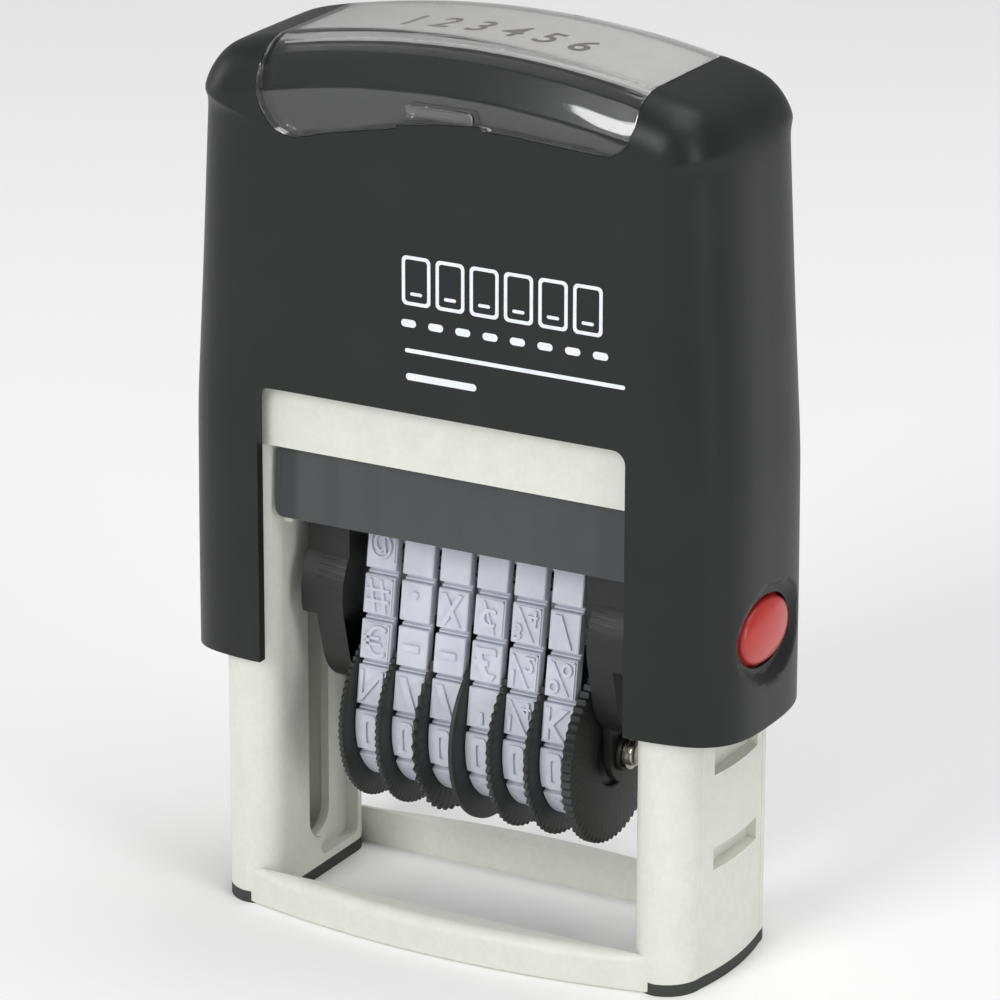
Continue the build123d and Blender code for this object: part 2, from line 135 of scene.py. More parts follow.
def clear_plastic():
    m, nt, b = base_mat("clear_cap")
    new, link = nt.nodes.new, nt.links.new
    tc = new("ShaderNodeTexCoord")
    n = new("ShaderNodeTexNoise")
    n.inputs["Scale"].default_value = 240.0
    n.inputs["Detail"].default_value = 2
    link(tc.outputs["Object"], n.inputs["Vector"])
    rr = new("ShaderNodeMapRange")
    rr.inputs["To Min"].default_value = 0.015
    rr.inputs["To Max"].default_value = 0.06
    link(n.outputs["Fac"], rr.inputs["Value"])
    link(rr.outputs[0], b.inputs["Roughness"])
    tint = new("ShaderNodeMapRange")
    tint.inputs["To Min"].default_value = 0.985
    tint.inputs["To Max"].default_value = 1.0
    link(n.outputs["Fac"], tint.inputs["Value"])
    link(tint.outputs[0], b.inputs["Base Color"])
    bp = new("ShaderNodeBump")
    bp.inputs["Strength"].default_value = 0.05
    bp.inputs["Distance"].default_value = 0.00004
    link(n.outputs["Fac"], bp.inputs["Height"])
    link(bp.outputs[0], b.inputs["Normal"])
    b.inputs["Transmission Weight"].default_value = 1.0
    b.inputs["IOR"].default_value = 1.49
    return m


M["clear_cap"] = clear_plastic()


# ------------------------------------------------------------------ mesh tools
def make(name, verts, faces, mat=None, sharp=None):
    """Mesh object from millimetres."""
    me = bpy.data.meshes.new(name)
    me.from_pydata([(x * MM, y * MM, z * MM) for x, y, z in verts], [], faces)
    me.validate()
    o = bpy.data.objects.new(name, me)
    COLL.objects.link(o)
    bm = bmesh.new()
    bm.from_mesh(me)
    bmesh.ops.recalc_face_normals(bm, faces=bm.faces)
    bm.to_mesh(me)
    bm.free()
    if mat:
        me.materials.append(M[mat])
    if sharp is not None:
        smooth(o, sharp)
    return o


def smooth(o, angle=32):
    me = o.data
    me.polygons.foreach_set("use_smooth", [True] * len(me.polygons))
    me.set_sharp_from_angle(angle=math.radians(angle))
    me.update()
    return o


def bake(o):
    """Replace the object's mesh by its evaluated one."""
    dg = C.evaluated_depsgraph_get()
    me = bpy.data.meshes.new_from_object(o.evaluated_get(dg))
    old = o.data
    o.modifiers.clear()
    o.data = me
    if old.users == 0:
        bpy.data.meshes.remove(old)
    return o


def drop(*objs):
    for o in objs:
        bpy.data.objects.remove(o)


def cut(o, *tools, op="DIFFERENCE", keep=False):
    for t in tools:
        md = o.modifiers.new("b", "BOOLEAN")
        md.operation = op
        md.solver = "EXACT"
        md.object = t
        bake(o)
    if not keep:
        drop(*tools)
    return o


def clean(o, dist=0.004):
    bm = bmesh.new()
    bm.from_mesh(o.data)
    bmesh.ops.remove_doubles(bm, verts=bm.verts, dist=dist * MM)
    bmesh.ops.dissolve_degenerate(bm, edges=bm.edges, dist=dist * MM)
    bm.to_mesh(o.data)
    bm.free()
    return o


def bevel(o, width, segments=3, angle=35):
    clean(o)
    md = o.modifiers.new("v", "BEVEL")
    md.width = width * MM
    md.segments = segments
    md.limit_method = "ANGLE"
    md.angle_limit = math.radians(angle)
    md.use_clamp_overlap = True
    md.miter_outer = "MITER_ARC"
    bake(o)
    return o


def soften(o, angle=32):
    smooth(o, angle)
    md = o.modifiers.new("n", "WEIGHTED_NORMAL")
    md.keep_sharp = True
    md.weight = 60
    return o


def prism(name, outline, axis, a, b, mat=None):
    """Closed prism of a 2-D outline: axis X takes (y, z), Y takes (x, z), Z takes (x, y)."""
    def p(u, v, w):
        return {"X": (w, u, v), "Y": (u, w, v), "Z": (u, v, w)}[axis]
    n = len(outline)
    verts = [p(u, v, a) for u, v in outline] + [p(u, v, b) for u, v in outline]
    faces = [tuple(range(n)), tuple(range(2 * n - 1, n - 1, -1))]
    faces += [(i, (i + 1) % n, n + (i + 1) % n, n + i) for i in range(n)]
    return make(name, verts, faces, mat)


def loft(name, rings, mat=None):
    n = len(rings[0])
    verts = [v for r in rings for v in r]
    faces = [tuple(range(n)), tuple(range((len(rings) - 1) * n, len(rings) * n))]
    for k in range(len(rings) - 1):
        faces += [(k * n + i, k * n + (i + 1) % n, (k + 1) * n + (i + 1) % n, (k + 1) * n + i) for i in range(n)]
    return make(name, verts, faces, mat)


def rrect(hw, hh, r, n=6, cx=0.0, cy=0.0):
    pts = []
    for sx, sy, a0 in ((1, -1, -90), (1, 1, 0), (-1, 1, 90), (-1, -1, 180)):
        for k in range(n + 1):
            a = math.radians(a0 + 90.0 * k / n)
            pts.append((cx + sx * (hw - r) + r * math.cos(a), cy + sy * (hh - r) + r * math.sin(a)))
    return pts


def ring(cx, cy, rx, ry=None, n=48, e=2.0):
    ry = rx if ry is None else ry
    out = []
    for k in range(n):
        a = 2 * math.pi * k / n
        c, s = math.cos(a), math.sin(a)
        out.append((cx + rx * math.copysign(abs(c) ** (2 / e), c), cy + ry * math.copysign(abs(s) ** (2 / e), s)))
    return out


def hull(circles, n=64):
    pts = []
    for x, y, r in circles:
        pts += ring(x, y, r, n=n)
    pts = sorted(set((round(x, 5), round(y, 5)) for x, y in pts))

    def half(seq):
        h = []
        for p in seq:
            while len(h) > 1 and (h[-1][0] - h[-2][0]) * (p[1] - h[-2][1]) - (h[-1][1] - h[-2][1]) * (p[0] - h[-2][0]) <= 1e-9:
                h.pop()
            h.append(p)
        return h
    lo, hi = half(pts), half(pts[::-1])
    return lo[:-1] + hi[:-1]


def arc3(a, m, b, n=10):
    """Points on the arc from a through m to b, b left out."""
    ax, ay = a; mx, my = m; bx, by = b
    d = 2 * (ax * (my - by) + mx * (by - ay) + bx * (ay - my))
    ux = ((ax * ax + ay * ay) * (my - by) + (mx * mx + my * my) * (by - ay) + (bx * bx + by * by) * (ay - my)) / d
    uy = ((ax * ax + ay * ay) * (bx - mx) + (mx * mx + my * my) * (ax - bx) + (bx * bx + by * by) * (mx - ax)) / d
    r = math.hypot(ax - ux, ay - uy)
    t0, tm, t1 = (math.atan2(q[1] - uy, q[0] - ux) for q in (a, m, b))
    tau = 2 * math.pi
    ccw = ((tm - t0) % tau) < ((t1 - t0) % tau)
    sweep = (t1 - t0) % tau if ccw else -((t0 - t1) % tau)
    return [(ux + r * math.cos(t0 + sweep * k / n), uy + r * math.sin(t0 + sweep * k / n)) for k in range(n)]


def place(o, body, slot, *nodes):
    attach(o, body)
    if nodes:
        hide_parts(*nodes)
    return o


def resample(pts, n):
    """n points evenly spaced along a polyline."""
    acc = [0.0]
    for a, b in zip(pts, pts[1:]):
        acc.append(acc[-1] + math.dist(a, b))
    out, j = [], 0
    for k in range(n):
        s = acc[-1] * k / (n - 1)
        while j < len(pts) - 2 and acc[j + 1] < s:
            j += 1
        t = (s - acc[j]) / max(acc[j + 1] - acc[j], 1e-9)
        out.append(tuple(p + (q - p) * t for p, q in zip(pts[j], pts[j + 1])))
    return out


def mirrored(o, name):
    """A copy mirrored left to right."""
    me = o.data.copy()
    me.transform(Matrix.Scale(-1, 4, (1, 0, 0)))
    me.flip_normals()
    n = bpy.data.objects.new(name, me)
    COLL.objects.link(n)
    return n


# ------------------------------------------------------------------ cover
CR, CZ = 95.7, -7.4
SX, SR = 21.95, 5.4
SZ = CZ + math.sqrt((CR - SR) ** 2 - SX ** 2)
SA = math.atan2(SX, SZ - CZ)
D = 10.95
BOTTOM = 25.79


def profile():
    """Front silhouette, right bottom to left bottom: points and outward normals."""
    side = [(29.2, BOTTOM), (29.18, 36.0), (29.05, 50.0), (28.2, 64.0), (SX + SR, SZ)]
    pts = list(side)
    n = 24
    for k in range(1, n + 1):
        a = (math.pi / 2 - SA) * k / n
        pts.append((SX + SR * math.cos(a), SZ + SR * math.sin(a)))
    for k in range(1, 25):
        a = SA * (1 - k / 24)
        pts.append((CR * math.sin(a), CZ + CR * math.cos(a)))
    right = resample(pts, 210)
    full = right + [(-x, z) for x, z in right[-2::-1]]
    p = [list(q) for q in full]
    for _ in range(30):
        q = [r[:] for r in p]
        for i in range(1, len(p) - 1):
            for c in (0, 1):
                q[i][c] = 0.25 * p[i - 1][c] + 0.5 * p[i][c] + 0.25 * p[i + 1][c]
        p = q
    nor = []
    for i in range(len(p)):
        a, b = p[max(i - 1, 0)], p[min(i + 1, len(p) - 1)]
        tx, tz = b[0] - a[0], b[1] - a[1]
        ln = math.hypot(tx, tz)
        nor.append((tz / ln, -tx / ln))
    nor[0], nor[-1] = (1.0, 0.0), (-1.0, 0.0)
    if nor[len(nor) // 2][1] < 0:
        nor = [(-a, -b) for a, b in nor]
    return p, nor


def sections(inset, kk=34):
    """Rim sections as (depth from the silhouette, y): side form, front and rear crown form."""
    d, n = D - inset, 3.5
    ax = 12.0 - inset
    side = []
    for k in range(400):
        t = math.pi / 2 * k / 399
        o = ax * (1 - max(math.cos(t), 0.0) ** (2 / n))
        y = d * math.sin(t) ** (2 / n)
        if o <= 9.0 - inset:
            side.append((o, y))
    side.append((9.0 - inset, d))
    out = [resample(side, kk)]
    for full_r in (5.0, 5.3):
        r = full_r - inset
        crown = [(0.0, 0.0), (0.0, 2.0), (0.0, 4.0)]
        for k in range(60):
            t = math.pi / 2 * k / 59
            crown.append((r * (1 - math.cos(t) ** 0.94), d - r + r * math.sin(t)))
        crown.append((r, d))
        out.append(resample(crown, kk))
    return out


def form(name, inset, dish=0.0):
    """Closed outer form of the cover, moved inwards by inset."""
    prof, nor = profile()
    side, crown_f, crown_b = sections(inset)
    rows = []
    lo = math.degrees(SA)
    for (x, z), (nx, nz) in zip(prof, nor):
        ang = abs(math.degrees(math.atan2(nx, nz)))
        w = min(max((86 - ang) / (84 - lo), 0.0), 1.0)
        w = w * w * (3 - 2 * w)
        t = min(max((ang - 74) / 13.0, 0.0), 1.0)
        squeeze = (5.3 + 3.7 * t * t * (3 - 2 * t)) / (9.0 * (1 - w) + 5.3 * w)
        halves = []
        for crown in (crown_f, crown_b):
            row = []
            for (o1, y1), (o2, y2) in zip(side, crown):
                o = (o1 * (1 - w) + o2 * w) * min(squeeze, 1.0) + inset
                y = y1 * (1 - w) + y2 * w
                row.append((x - o * nx, y, z - o * nz))
            halves.append(row)
        full = [(px, -py, pz) for px, py, pz in halves[0][::-1]] + halves[1][1:]
        if dish:
            q = []
            for px, py, pz in full:
                rho = math.hypot(py / 6.35, (pz - 34.4) / 4.9)
                if abs(px) > 24 and rho < 1.0 and pz < 45:
                    t = min((1.0 - rho) / 0.2, 1.0)
                    dd = dish * (t * t * (3 - 2 * t))
                    px -= math.copysign(dd, px)
                q.append((px, py, pz))
            full = q
        rows.append(full)
    m = len(rows[0])
    verts = [v for r in rows for v in r]
    faces = []
    for i in range(len(rows) - 1):
        for j in range(m - 1):
            a = i * m + j
            faces.append((a, a + 1, a + m + 1, a + m))
    faces.append(tuple(i * m for i in range(len(rows))))
    faces.append(tuple(i * m + m - 1 for i in range(len(rows) - 1, -1, -1)))
    last = (len(rows) - 1) * m
    faces.append(tuple(range(m)) + tuple(range(last + m - 1, last - 1, -1)))
    return make(name, verts, faces)


# lower edge of the clear cap, as (x, z)
CAP_EDGE = [(-19.2, 83.2), (-19.12, 81.9), (-18.75, 80.55), (-18.1, 79.4), (-17.2, 78.5), (-16.1, 78.05), (-15.0, 77.98),
            (-13.6, 78.3), (-12.2, 78.7), (-8.8, 79.42), (-5.0, 80.16), (-4.35, 80.3), (-4.1, 80.66), (0.0, 81.2), (4.4, 81.6),
            (4.65, 81.2), (7.6, 81.2), (10.6, 80.98), (14.0, 80.8), (16.2, 80.66), (17.5, 80.66), (18.6, 81.1), (19.4, 82.0),
            (19.8, 83.2)]


def rounded_cover():
    o = form("cover", 0.0, dish=0.85)
    wi = 27.9
    rings = [[(x, y, z) for x, y in rrect(w, 9.95, r, n=8)] for z, w, r in ((20.0, wi, 6.0), (48.0, wi, 5.8), (64.0, wi - 0.75, 5.5), (77.3, 26.2, 5.0))]
    rings += [[(x, y, z) for x, y in rrect(w, d, r, n=8)] for z, w, d, r in ((77.3, 25.6, 8.5, 5.0), (82.3, 24.2, 7.2, 4.0))]
    cavity = loft("cavity", rings)
    win = prism("win", [(x, z) for x, z in rrect(19.46, 20.0, 1.3, cy=33.39)], "Y", -20, 20)
    cut(o, cavity, win)
    bevel(o, 0.42, 4)
    return o, rings


cover, cavity_rings = rounded_cover()
cap_outline = [(-19.2, 96.0)] + CAP_EDGE + [(19.8, 96.0)]
cut(cover, prism("recess", cap_outline, "Y", -20, 20))
cut(cover, prism("hole", ring(0, 34.4, 5.12, 3.42), "X", -40, 40))
# the side edges of the arms sweep slightly downwards in the middle
for v in cover.data.vertices:
    x, y, z = v.co.x / MM, v.co.y / MM, v.co.z / MM
    k = min(max((abs(x) - 22.5) / 4.0, 0.0), 1.0)
    f = min(max(1 - (z - BOTTOM) / 5.0, 0.0), 1.0)
    q = max(1 - (y / D) ** 2, 0.0)
    v.co.z -= 0.62 * MM * k * k * (3 - 2 * k) * f * q
cover.data.materials.clear()
cover.data.materials.append(M["cover_black"])
soften(cover, 34)
place(cover, "cover", "cover_black", "cover_shell")

# body under the clear cap, with a crisp front and rear edge
def core_block():
    sec = [(1.25, 0.0), (1.25, 5.2), (1.42, 6.6), (1.80, 8.10), (4.6, 9.35), (7.0, 9.5), (12.0, 9.5)]
    rings = []
    for i in range(57):
        x = -19.6 + 39.8 * i / 56
        h = []
        for o, y in sec:
            h.append((y, CZ + math.sqrt((CR - o) ** 2 - x * x)))
        pts = [(-y, z) for y, z in h[::-1]] + [(y * 0.97, z - 0.1 * (y / 8.1)) for y, z in h[1:]]
        pts = [(y, max(z, 77.7)) for y, z in pts]
        rings.append([(x, y, z) for y, z in pts] + [(x, 9.2, 77.4), (x, -9.5, 77.4)])
    return loft("cover_core", rings)


core = core_block()
cut(core, loft("cav2", cavity_rings[4:]))
cut(core, prism("relief", ring(0, 0, 3.4, n=32), "Z", 70, 78.9))
bevel(core, 0.16, 3, 14)
core.data.materials.clear()
core.data.materials.append(M["core_black"])
soften(core, 30)
place(core, "cover", "cover_black")


# ------------------------------------------------------------------ clear cap and card
def crown_section(inset, full_r, n_arc=14):
    d = D - inset
    r = full_r - inset
    pts = [(0.0, y) for y in (0.0, 1.5, 3.0, 4.5)]
    for k in range(n_arc + 1):
        t = math.pi / 2 * k / n_arc
        pts.append((r * (1 - math.cos(t) ** 0.94), d - r + r * math.sin(t)))
    pts += [(r + k * 0.8, d) for k in range(1, 12)]
    return [(o + inset, y) for o, y in pts]


def edge_z(x):
    for (x0, z0), (x1, z1) in zip(CAP_EDGE, CAP_EDGE[1:]):
        if x0 <= x <= x1:
            return z0 + (z1 - z0) * (x - x0) / max(x1 - x0, 1e-9)
    return 83.2


def cap_half(x, inset, z_end, full_r, rows=26):
    sec = []
    for o, y in crown_section(inset, full_r):
        z = CZ + math.sqrt((CR - o) ** 2 - x * x)
        sec.append((y, z))
    out = []
    for (y0, z0), (y1, z1) in zip(sec, sec[1:]):
        out.append((y0, z0))
        if z1 <= z_end:
            t = (z0 - z_end) / (z0 - z1)
            out.append((y0 + (y1 - y0) * t, z_end))
            break
    return resample(out, rows)


def clear_cap():
    xs = []
    for (x0, _), (x1, _) in zip(CAP_EDGE, CAP_EDGE[1:]):
        k = max(1, int((x1 - x0) / 0.7))
        xs += [x0 + (x1 - x0) * i / k for i in range(k)]
    xs.append(19.8)
    g = 0.07
    xs = [min(max(x, -19.2 + g), 19.8 - g) for x in xs]
    xs = sorted(set(round(x, 4) for x in xs))
    verts, faces = [], []
    sheets = []
    for inset in (0.0, 0.85):
        grid = []
        for x in xs:
            h = cap_half(x, inset, edge_z(x) + g, 5.0)
            hb = cap_half(x, inset, edge_z(x) + g, 5.3)
            full = [(-y, z) for y, z in h[::-1]] + hb[1:]
            grid.append([(x, y, z) for y, z in full])
        sheets.append(grid)
    m = len(sheets[0][0])
    nrow = len(xs)
    for grid in sheets:
        for r in grid:
            verts += r
    off = nrow * m
    for i in range(nrow - 1):
        for j in range(m - 1):
            a = i * m + j
            faces.append((a, a + 1, a + m + 1, a + m))
            faces.append((off + a, off + a + m, off + a + m + 1, off + a + 1))
    for i in range(nrow - 1):
        for j in (0, m - 1):
            a, b = i * m + j, (i + 1) * m + j
            faces.append((a, b, off + b, off + a))
    for j in range(m - 1):
        for i in (0, nrow - 1):
            a, b = i * m + j, i * m + j + 1
            faces.append((a, b, off + b, off + a))
    return make("index_cap_clear", verts, faces, "clear_cap")


cap = clear_cap()
md = cap.modifiers.new("v", "BEVEL")
md.width = 0.16 * MM
md.segments = 2
md.limit_method = "ANGLE"
md.angle_limit = math.radians(50)
bake(cap)
soften(cap, 40)
place(cap, "index_cap", "clear_cap", "index_window")

# finger ridge on the cap's front edge
tab = prism("cap_finger_ridge", rrect(3.55, 0.62, 0.55, n=6, cx=0.25, cy=82.2), "Y", -D - 0.32, -D + 0.25, "clear_cap")
bevel(tab, 0.22, 3)
soften(tab, 40)
place(tab, "index_cap", "clear_cap")


def card_sheet():
    xs = [-18.65 + 37.95 * i / 60 for i in range(61)]
    ys = [-6.15 + (6.15 + 6.9) * j / 30 for j in range(31)]

    def top(x, y, o0):
        o = o0
        if y > 5.65:
            r = 4.3
            o += r - math.sqrt(r * r - (y - 5.65) ** 2)
        elif y < -5.2:
            o += 0.05 * ((-5.2 - y) / 0.95) ** 2
        return CZ + math.sqrt((CR - o) ** 2 - x * x)
    verts, faces = [], []
    for o0 in (0.98, 1.16):
        for x in xs:
            verts += [(x, y, top(x, y, o0)) for y in ys]
    n, m = len(xs), len(ys)
    off = n * m
    for i in range(n - 1):
        for j in range(m - 1):
            a = i * m + j
            faces.append((a, a + m, a + m + 1, a + 1))
            faces.append((off + a, off + a + 1, off + a + m + 1, off + a + m))
    for i in range(n - 1):
        for j in (0, m - 1):
            a, b = i * m + j, (i + 1) * m + j
            faces.append((a, b, off + b, off + a))
    for j in range(m - 1):
        for i in (0, n - 1):
            a, b = i * m + j, i * m + j + 1
            faces.append((a, b, off + b, off + a))
    return make("index_card", verts, faces, "card", sharp=40)


card = card_sheet()
place(card, "cover", "card", "index_label")

_glyphs = {}


def glyph(ch, fat=0.0):
    """Flat outline mesh of one character in a 1-high cell, centred, as (verts, faces)."""
    if (ch, fat) not in _glyphs:
        cu = bpy.data.curves.new("g", "FONT")
        cu.body = ch
        cu.resolution_u = 3
        cu.offset = fat
        ob = bpy.data.objects.new("g", cu)
        COLL.objects.link(ob)
        C.view_layer.update()
        me = bpy.data.meshes.new_from_object(ob)
        bm = bmesh.new()
        bm.from_mesh(me)
        bmesh.ops.remove_doubles(bm, verts=bm.verts, dist=0.004)
        bmesh.ops.triangulate(bm, faces=bm.faces)
        xs = [v.co.x for v in bm.verts]
        ys = [v.co.y for v in bm.verts]
        cx, cy = (min(xs) + max(xs)) / 2, (min(ys) + max(ys)) / 2
        bm.verts.index_update()
        vs = [(v.co.x - cx, v.co.y - cy) for v in bm.verts]
        fs = [tuple(v.index for v in f.verts) for f in bm.faces]
        rim = [(e.verts[0].index, e.verts[1].index) for e in bm.edges if len(e.link_faces) == 1]
        _glyphs[(ch, fat)] = (vs, fs, rim, max(xs) - min(xs), max(ys) - min(ys))
        bm.free()
        drop(ob)
    return _glyphs[(ch, fat)]


def raised(verts, faces, ch, sx, sy, mapper, h0, h1, dx=0.0, dy=0.0, shear=0.0, fat=0.0):
    """Adds a raised character: mapper(u, v, h) gives the point."""
    vs, fs, rim, w, h = glyph(ch, fat)
    base = len(verts)
    n = len(vs)
    for hh in (h0, h1):
        for u, v in vs:
            verts.append(mapper(u * sx + v * sy * shear + dx, v * sy + dy, hh))
    for f in fs:
        faces.append(tuple(base + n + i for i in f))
        faces.append(tuple(base + i for i in f[::-1]))
    for a, b in rim:
        faces.append((base + a, base + b, base + n + b, base + n + a))


dv, df = [], []
for i, ch in enumerate("123456"):
    x0 = -8.03 + 3.49 * i

    def on_card(u, v, h, x0=x0):
        x, y = x0 + u, -0.75 + v
        return (x, y, CZ + math.sqrt((CR - 0.98 + h) ** 2 - x * x))
    raised(dv, df, ch, 4.1, 5.2, on_card, -0.02, 0.02, shear=0.16, fat=0.014)
digits = make("index_digits", dv, df, "print_brown", sharp=30)
place(digits, "cover", "card")


# plain white pad print on the front: blank boxes and rule lines
def front_print():
    verts, faces = [], []

    def strip(outer, inner):
        base = len(verts)
        n = len(outer)
        for y in (-D - 0.018, -D + 0.05):
            for loop in (outer, inner):
                verts.extend((x, y, z) for x, z in loop)
        for i in range(n):
            k = (i + 1) % n
            a, b, c, d = i, k, n + k, n + i
            faces.append((base + a, base + b, base + c, base + d))
            a2, b2, c2, d2 = (2 * n + v for v in (a, b, c, d))
            faces.append((base + d2, base + c2, base + b2, base + a2))
            faces.append((base + a, base + a2, base + b2, base + b))
            faces.append((base + d, base + c, base + c2, base + d2))

    def bar(cx, cz, hw, hh):
        base = len(verts)
        loop = rrect(hw, hh, min(hw, hh) * 0.98, n=5, cx=cx, cy=cz)
        n = len(loop)
        for y in (-D - 0.018, -D + 0.05):
            verts.extend((x, y, z) for x, z in loop)
        faces.append(tuple(base + i for i in range(n)))
        faces.append(tuple(base + n + i for i in range(n - 1, -1, -1)))
        for i in range(n):
            k = (i + 1) % n
            faces.append((base + i, base + n + i, base + n + k, base + k))
    for i in range(6):
        cx = -2.2 + i * 3.55
        strip(rrect(1.5, 2.35, 0.5, n=5, cx=cx, cy=66.2), rrect(1.16, 2.01, 0.3, n=5, cx=cx, cy=66.2))
        bar(cx, 64.95, 0.62, 0.16)
    for i in range(8):
        bar(-3.0 + i * 2.84, 62.1, 0.78, 0.36)
    bar(8.0, 59.5, 11.4, 0.2)
    bar(0.4, 57.0, 3.7, 0.34)
    return make("front_pad_print", verts, faces, "print_white", sharp=30)


marks = front_print()
place(marks, "cover", "cover_black")


# ------------------------------------------------------------------ lock buttons
def button(name, s):
    """Domed oval button with its stem and lock lug."""
    zc = 34.4
    prof = [(0.0, 29.3), (0.2, 29.28), (0.4, 29.2), (0.6, 29.07), (0.78, 28.88), (0.9, 28.7), (0.96, 28.52), (0.99, 28.32), (1.0, 28.1), (1.0, 27.32)]
    n = 64
    rings = []
    for q, x in prof[1:]:
        rings.append([(s * x, y, z) for y, z in ring(0, zc, 4.66 * q, 3.06 * q, n=n, e=2.12)])
    for y_, z_, x_ in ((5.25, 3.75, 27.31), (5.25, 3.75, 27.22), (3.2, 0.75, 27.215), (3.2, 0.75, 26.35)):
        rings.append([(s * x_, y, z) for y, z in ring(0, zc, y_, z_, n=n, e=2.2 if y_ > 4 else 9)])
    verts = [(s * prof[0][1], 0, zc)] + [v for r in rings for v in r]
    faces = [(0, 1 + i, 1 + (i + 1) % n) for i in range(n)]
    for k in range(len(rings) - 1):
        for i in range(n):
            a, b = 1 + k * n + i, 1 + k * n + (i + 1) % n
            faces.append((a, b, b + n, a + n))
    faces.append(tuple(1 + (len(rings) - 1) * n + i for i in range(n)))
    o = make(name, verts, faces, "button_red", sharp=40)
    return o


place(button("button_red_right", 1), "button_right", "button_red", "lock_button_right")
place(button("button_red_left", -1), "button_left", "button_red", "lock_button_left")


# ------------------------------------------------------------------ frame
def leg_plan(n=12):
    pts = []
    pts += arc3((19.22, 6.8), (20.15, 8.75), (22.4, 9.6), n)
    pts += arc3((22.4, 9.6), (24.3, 8.62), (25.4, 6.1), n)
    pts += arc3((25.4, 6.1), (26.05, 0.0), (25.4, -6.1), n)
    pts += arc3((25.4, -6.1), (24.3, -8.62), (22.4, -9.6), n)
    pts += arc3((22.4, -9.6), (20.15, -8.75), (19.22, -6.8), n)
    pts.append((19.22, -6.8))
    return pts


def bow(x):
    return 9.5 + (12.1 - 9.5) * (1 - (x / 21.8) ** 2)


def bar(sy):
    rings = []
    for i in range(41):
        x = -21.8 + 43.6 * i / 40
        yo = bow(x)
        sec = [(-9.07, 0.0), (-9.07, 3.55), (-9.1, 3.68), (-9.19, 3.73)]
        r = 1.15
        if yo - r < 9.25:
            r = max(yo - 9.25, 0.15)
        for k in range(7):
            a = math.pi / 2 * k / 6
            sec.append((-(yo - r) - r * math.sin(a), 3.73 - r + r * math.cos(a)))
        sec += [(-yo, 0.25), (-yo + 0.25, 0.0)]
        rings.append([(x, -sy * y, z) for y, z in sec])
    return loft("bar", rings)


def slot_outline(z0, z1, hw, n=14):
    pts = []
    for k in range(n + 1):
        a = math.pi * k / n
        pts.append((hw * math.cos(a), z1 - hw + hw * math.sin(a)))
    for k in range(n + 1):
        a = math.pi + math.pi * k / n
        pts.append((hw * math.cos(a), z0 + hw + hw * math.sin(a)))
    return pts


def build_frame():
    lp = leg_plan()
    o = prism("frame", lp, "Z", 1.2, 55.5)
    cut(o, prism("l2", [(-x, y) for x, y in lp], "Z", 1.2, 55.5), bar(-1), bar(1), prism("ch", rrect(22.4, 9.12, 0.2, n=1), "Z", 47.12, 55.5), op="UNION")
    well = prism("well", rrect(19.6, 7.62, 0.5, n=2), "Z", 48.9, 60)
    cut(well, prism("w", ring(0, 0, 6.6), "Z", 40, 70))
    cut(o, well, prism("w2", ring(0, 0, 5.1), "Z", 48.9, 60))
    cut(o, prism("post", ring(0, 0, 2.8, n=32), "Z", 48.0, 56.9), op="UNION")
    for s in (-1, 1):
        a, b = sorted((s * 20.9, s * 23.9))
        cut(o, prism("ch", [(a, -3.4), (b, -3.4), (b, 3.4), (a, 3.4)], "Z", 4.0, 60))
        a, b = sorted((s * 18.2, s * 21.1))
        cut(o, prism("sl", slot_outline(4.0, 36.5, 2.5), "X", a, b))
        rel = prism("rel", rrect(3.5, 18.0, 0.8, n=3, cx=3.2, cy=20.0), "X", *sorted((s * 18.0, s * 20.5)))
        cut(rel, prism("rim", slot_outline(2.7, 37.8, 3.8), "X", *sorted((s * 17.0, s * 22.0))))
        cut(o, rel)
        cut(o, prism("rel2", rrect(3.5, 18.0, 0.8, n=3, cx=3.2, cy=20.0), "X", *sorted((s * 18.0, s * 20.02))))
        for z0, z1 in ((11.5, 13.7), (21.0, 25.0), (33.2, 35.4)):
            cut(o, prism("lk", [(-4.4, z0), (4.4, z0), (4.4, z1), (-4.4, z1)], "X", *sorted((s * 24.65, s * 30.0))))
        cut(o, prism("ld", [(-6.4, 38.7), (7.6, 38.7), (7.6, 39.8), (-6.4, 39.8)], "X", *sorted((s * 18.4, s * 19.3))), op="UNION")
    bevel(o, 0.26, 3, 38)
    return o


base = build_frame()
base.data.materials.clear()
base.data.materials.append(M["frame_grey"])
soften(base, 34)
place(base, "frame", "frame_grey", "base_frame")


def parting_lines():
    """Thin raised mould seams on the outer sides of the legs."""
    verts, faces = [], []
    for sx in (-1, 1):
        for sy in (-1, 1):
            base = len(verts)
            sec = [(25.30, 5.98), (25.47, 6.02), (25.49, 6.07), (25.45, 6.13), (25.25, 6.2)]
            for z in (1.7, 25.2):
                verts.extend((sx * x, sy * y, z) for x, y in sec)
            m = len(sec)
            for i in range(m):
                j = (i + 1) % m
                f = (base + i, base + j, base + m + j, base + m + i)
                faces.append(f if sx * sy > 0 else f[::-1])
            f = tuple(base + i for i in range(m))
            g = tuple(base + m + i for i in range(m))
            faces.append(f[::-1] if sx * sy > 0 else f)
            faces.append(g if sx * sy > 0 else g[::-1])
    return make("leg_parting_lines", verts, faces, "frame_grey", sharp=40)


place(parting_lines(), "frame", "frame_grey")


def foot(name, s):
    lp = [(s * x, y) for x, y in leg_plan()]
    o = prism(name, lp, "Z", 0.0, 1.2)
    for sy in (-1, 1):
        tool = [(s * -2.0, sy * 9.02), (s * 21.2, sy * 9.02), (s * 22.1, sy * 20.0), (s * -2.0, sy * 20.0)]
        cut(o, prism("t", tool, "Z", -1, 3))
    bevel(o, 0.18, 3, 38)
    o.data.materials.clear()
    o.data.materials.append(M["foot_black"])
    soften(o, 34)
    return o


place(foot("foot_pad_right", 1), "frame", "foot_black", "foot_right")
place(foot("foot_pad_left", -1), "frame", "foot_black", "foot_left")


